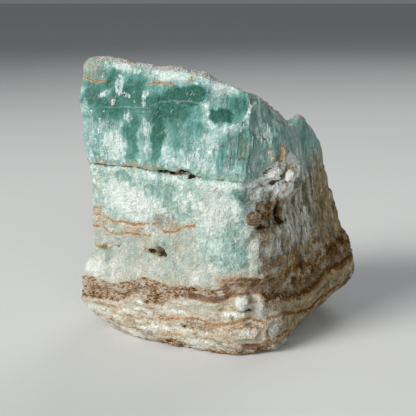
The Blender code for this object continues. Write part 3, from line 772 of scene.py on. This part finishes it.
# ---- The vugs and bosses ---------------------------------------------------------------------------------
# Small holes that the calcite never filled, with ragged rims, and the lumps of crust beside them. The
# olive vug lies left of the middle, and the brown cavity opens on the near ridge.
VUGS = [
    ((-25.4, -26.7, 34.9, 2.6, 0.9), 1.6), ((-22.6, -27.8, 35.0, 2.2, 1.6), 2.2),
    ((-23.0, -28.2, 36.8, 1.1, 1.2), 1.6), ((-20.4, -28.8, 34.2, 1.3, 0.8), 1.2),
    ((-20.2, -28.9, 38.0, 0.9, 0.7), 0.9), ((-27.8, -25.6, 35.4, 1.0, 0.6), 0.8),
    ((19.6, -28.2, 49.6, 2.3, 4.6), 3.6), ((20.6, -27.4, 46.6, 2.6, 1.9), 2.6),
    ((14.8, -34.6, 46.4, 2.6, 1.0), 1.2), ((16.3, -29.7, 65.0, 0.7, 4.4, 0.4), 1.8),
    ((18.0, -28.2, 63.0, 0.45, 3.4, 0.45), 1.2), ((-38.5, -19.5, 34.5, 1.5, 1.0), 0.8),
    ((-13.9, -33.7, 8.9, 1.7, 0.9), 1.0), ((3.4, -39.4, 14.2, 1.2, 0.7), 0.7),
    ((8.2, -39.6, 16.9, 2.8, 0.8), 1.1), ((9.0, -39.4, 12.3, 2.0, 0.8), 0.7),
    ((22.2, -32.5, 12.2, 2.0, 1.2), 1.0), ((28.2, -20.6, 20.5, 2.1, 0.9), 1.0),
    ((13.5, -38.5, 30.5, 1.4, 1.0), 1.0), ((17, -34, 26.5, 1.6, 1.0), 0.9),
]
BOSSES = [
    ((-45.4, -16.2, 34.8, 2.6, 1.9), 0.8), ((6.6, -39.8, 20.9, 3.2, 3.8), 1.8),
    ((12.4, -40.0, 17.5, 2.4, 5.0), 0.6), ((-45.0, -15.5, 98.6, 5.0, 4.0), 0.6),
    ((14.0, -36.0, 50.5, 4.5, 2.8), 0.7), ((-18.0, -31.2, 2.0, 3.5, 1.6), 0.7),
]
# Brown rim and near-black inside of each hole, darker where deeper: own brown and painted shade.
PIT_SHADE = (0.045, 0.028, 0.009)
PIT_RIM = (0.30, 0.22, 0.10)
# How deep a hole must be to get the full painted shade inside.
FULL_SHADE_DEPTH = 1.6  # a hole this deep is dark inside
vug = np.zeros(len(skin))
for mark, sinks in VUGS:
    hole = spot(frayed, mark, full=0.4)
    vug = np.maximum(vug, hole * min(sinks / FULL_SHADE_DEPTH, 1.0))
    height -= sinks * hole
for mark, rise in BOSSES:
    height += rise * spot(ragged, mark, full=0.5)

vug = field("vug", vug) + 0.06 * flakes
colour = colour.under(vug.ramp(0.02, 0.3) * 0.7, PIT_RIM)
# Near-black painted shade inside the deeper holes.
hole_shade = (vug + 0.1 * sugar).ramp(0.3, 0.6)
colour = colour.under(hole_shade, PIT_SHADE)
roughness = roughness + (1 - roughness) * hole_shade

# ---- The crest -------------------------------------------------------------------------------------------
# The weathered rim along the top, where a dull, pale crust a few millimetres thick covers the calcite.
# Rusty stains lie in it, and here and there on the faces below.
CREST = [
    (-54, 102), (-46.5, 103.5), (-27, 101), (-10, 99.5), (0, 97), (8, 94.3), (16, 86.5), (23, 80.5),
    (30, 81),
]
CRUST = [
    (0.0, (0.38, 0.27, 0.16)), (0.3, (0.64, 0.56, 0.44)), (0.5, (0.80, 0.79, 0.72)),
    (1.0, (0.88, 0.91, 0.88)),
]
RUSTY = [
    (1.0, -11, -31, 96.0, 1.6, 2.4), (0.7, -31, -21, 101.5, 7, 1.4), (0.5, -44, -17, 94.6, 3, 0.8),
    (0.35, -22, -26, 95.4, 4, 1.0), (0.85, 17.2, -29, 70.4, 6.5, 4.0), (0.8, -22.5, -28, 32.0, 1.0, 3.0),
    (0.7, -28.5, -25.3, 35.2, 2.2, 1.0), (0.5, -25, -27, 32.2, 0.8, 2), (0.4, -20.2, -29, 32, 0.8, 2.4),
    (0.9, 19.4, -27.6, 58.2, 1.7, 3.6), (0.9, 19.9, -26.8, 61.6, 1.5, 3.2, 0.4),
    (0.5, 12, -37, 55.5, 6, 1.2), (0.85, 20.9, -25.2, 65.4, 1.6, 4.0, 0.35),
    (0.8, -43.6, -17.0, 34.0, 2.6, 2.0), (0.35, -45, -16, 50, 5, 2.5), (0.3, -29, -25, 29, 2, 2),
    (0.4, -40, -18, 66, 8, 1), (0.45, -8, -34, 65.6, 8, 1.6), (0.5, 2, -37, 64.4, 3, 1.4),
    (0.45, 10, -40, 29.8, 7, 1.6), (0.45, -12, -35, 17, 14, 2), (0.4, -36, -21, 13, 9, 2),
    (0.5, 38.5, -2, 44, 2.5, 12, -0.5), (0.6, 41, 4, 46, 3, 12, -0.45), (0.6, 47, 9, 34, 4, 6),
]
OCHRE = [(0.0, (0.26, 0.12, 0.03)), (0.5, (0.56, 0.36, 0.14)), (1.0, (0.84, 0.74, 0.55))]
CREST_DEPTH = [
    (-54, -12), (-34, -18.5), (-23.6, -25), (-10, -30), (7, -34.5), (16, -24), (24, -5), (30, -3),
    (40, 3),
]
below_crest = course(skin, CREST) - skin[:, 2]
behind_crest = skin[:, 1] - course(skin, CREST_DEPTH)
patchy = waves(skin, 4.0, octaves=3, shift=8.0)
crust = (1 - ramp(below_crest + 1.2 * patchy, 0.5, 2.5)) * (1 - ramp(behind_crest + 5 * patchy, 5, 12))
height += crust * 0.3 * waves(skin, 2.0, octaves=3, shift=4.4)

crusted = (field("crust", crust) + 0.15 * flakes).ramp(0.3, 0.6)
rusty = (marked("rusty", RUSTY) + 0.14 * flakes + 0.1 * crumbled).ramp(0.4, 0.75)
colour = colour.under(crusted * 0.9, (0.68 + 0.24 * flakes + 0.15 * sugar).colours(*CRUST))
colour = colour.under(rusty * 0.8, (0.5 + 0.3 * flakes + 0.35 * crystal + 0.25 * sugar).colours(*OCHRE))
roughness = roughness + (0.8 - roughness) * crusted
grain = grain + crusted * 0.8 * sugar

# ---- Raising the relief ----------------------------------------------------------------------------------
# The whole stone again, which takes the relief and the colour that the sections above have added up. What
# is finer than the faces of the skin, such as crystal grain and single fibres, is a bump.
GRAIN_DEPTH = 0.7
colour.link("Base Color", shader)
roughness.link("Roughness", shader)
bump = paint.node("Bump", {}, {"Strength": 1.0, "Distance": GRAIN_DEPTH * MM, "Height": grain})
bump.link("Normal", shader)

points = skin + facing * height[:, None]
points[:, 2] = np.clip(points[:, 2], 0, None)
stone.data.vertices.foreach_set("co", (points * MM).astype(np.float32).ravel())
stone.data.update()
stone.data.shade_smooth()
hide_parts("calcite")
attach(stone, "root")

# ---- The surface it stands on ----------------------------------------------------------------------------
# A plain pale table top, which is not part of the stone. It lies a hair below the foot, so that the two
# faces don't flicker in each other.
TABLE_SIZE = 60000
TABLE_GAP = 0.2
TABLE_GREY = (0.68, 0.69, 0.68, 1)
bpy.ops.mesh.primitive_plane_add(size=TABLE_SIZE * MM, location=(0, 0, -TABLE_GAP * MM))
table = bpy.context.object
table.name = "table"
table_top = bpy.data.materials.new("table")
table_top.use_nodes = True
table_shader = table_top.node_tree.nodes["Principled BSDF"]
table_shader.inputs["Base Color"].default_value = TABLE_GREY
table_shader.inputs["Roughness"].default_value = 0.9
table_shader.inputs["Specular IOR Level"].default_value = 0.05
table.data.materials.append(table_top)

# ---- Light -----------------------------------------------------------------------------------------------
# A large soft lamp up on the left of the front, a weak one low on the right, another behind for the far
# sides, and an even pale light from all round. Places and sizes of lamps are in metres.
LIT_PLACE = (0, 0, 0.05)  # what the lamps point at
ROOM_LIGHT = (0.85, 0.9, 0.95, 1)
ROOM_STRENGTH = 0.18


def lamp(name, place, size, power, colour, spread):
    data = bpy.data.lights.new(name, "AREA")
    data.shape = "RECTANGLE"
    data.size, data.size_y = size
    data.energy = power
    data.color = colour
    data.spread = math.radians(spread)
    made = bpy.data.objects.new(name, data)
    made.location = place
    made.rotation_euler = (Vector(LIT_PLACE) - Vector(place)).to_track_quat("-Z", "Y").to_euler()
    bpy.context.scene.collection.objects.link(made)


lamp("window", (-1.94, -1.32, 1.31), (1.3, 1.2), 7.6, (1.0, 0.98, 0.95), 45)
lamp("fill", (0.55, -2.2, 0.75), (2.0, 1.3), 2.3, (0.96, 0.98, 1.0), 50)
lamp("back", (0.9, 2.0, 1.9), (1.6, 1.4), 2.1, (0.96, 0.98, 1.0), 45)
world = bpy.data.worlds.new("room")
world.use_nodes = True
world.node_tree.nodes["Background"].inputs["Color"].default_value = ROOM_LIGHT
world.node_tree.nodes["Background"].inputs["Strength"].default_value = ROOM_STRENGTH
bpy.context.scene.world = world

# ---- Camera ----------------------------------------------------------------------------------------------
# Close in front of the stone and a little higher than its top, looking down on to the front face. It is
# near enough to see the corner that comes forward a little larger than the rest.
CAMERA_PLACE = (-5.3, -312, 122)
LOOKS_DOWN = 14  # degrees
FOCAL_LENGTH = 72.2
SENSOR_WIDTH = 36
lens = bpy.data.cameras.new("camera")
lens.lens = FOCAL_LENGTH
lens.sensor_width = SENSOR_WIDTH
lens.sensor_fit = "HORIZONTAL"
lens.clip_start = 0.01
camera = bpy.data.objects.new("camera", lens)
camera.location = Vector(CAMERA_PLACE) * MM
camera.rotation_euler = (math.radians(90 - LOOKS_DOWN), 0, 0)
bpy.context.scene.collection.objects.link(camera)
bpy.context.scene.camera = camera
bpy.context.scene.view_settings.view_transform = "Standard"
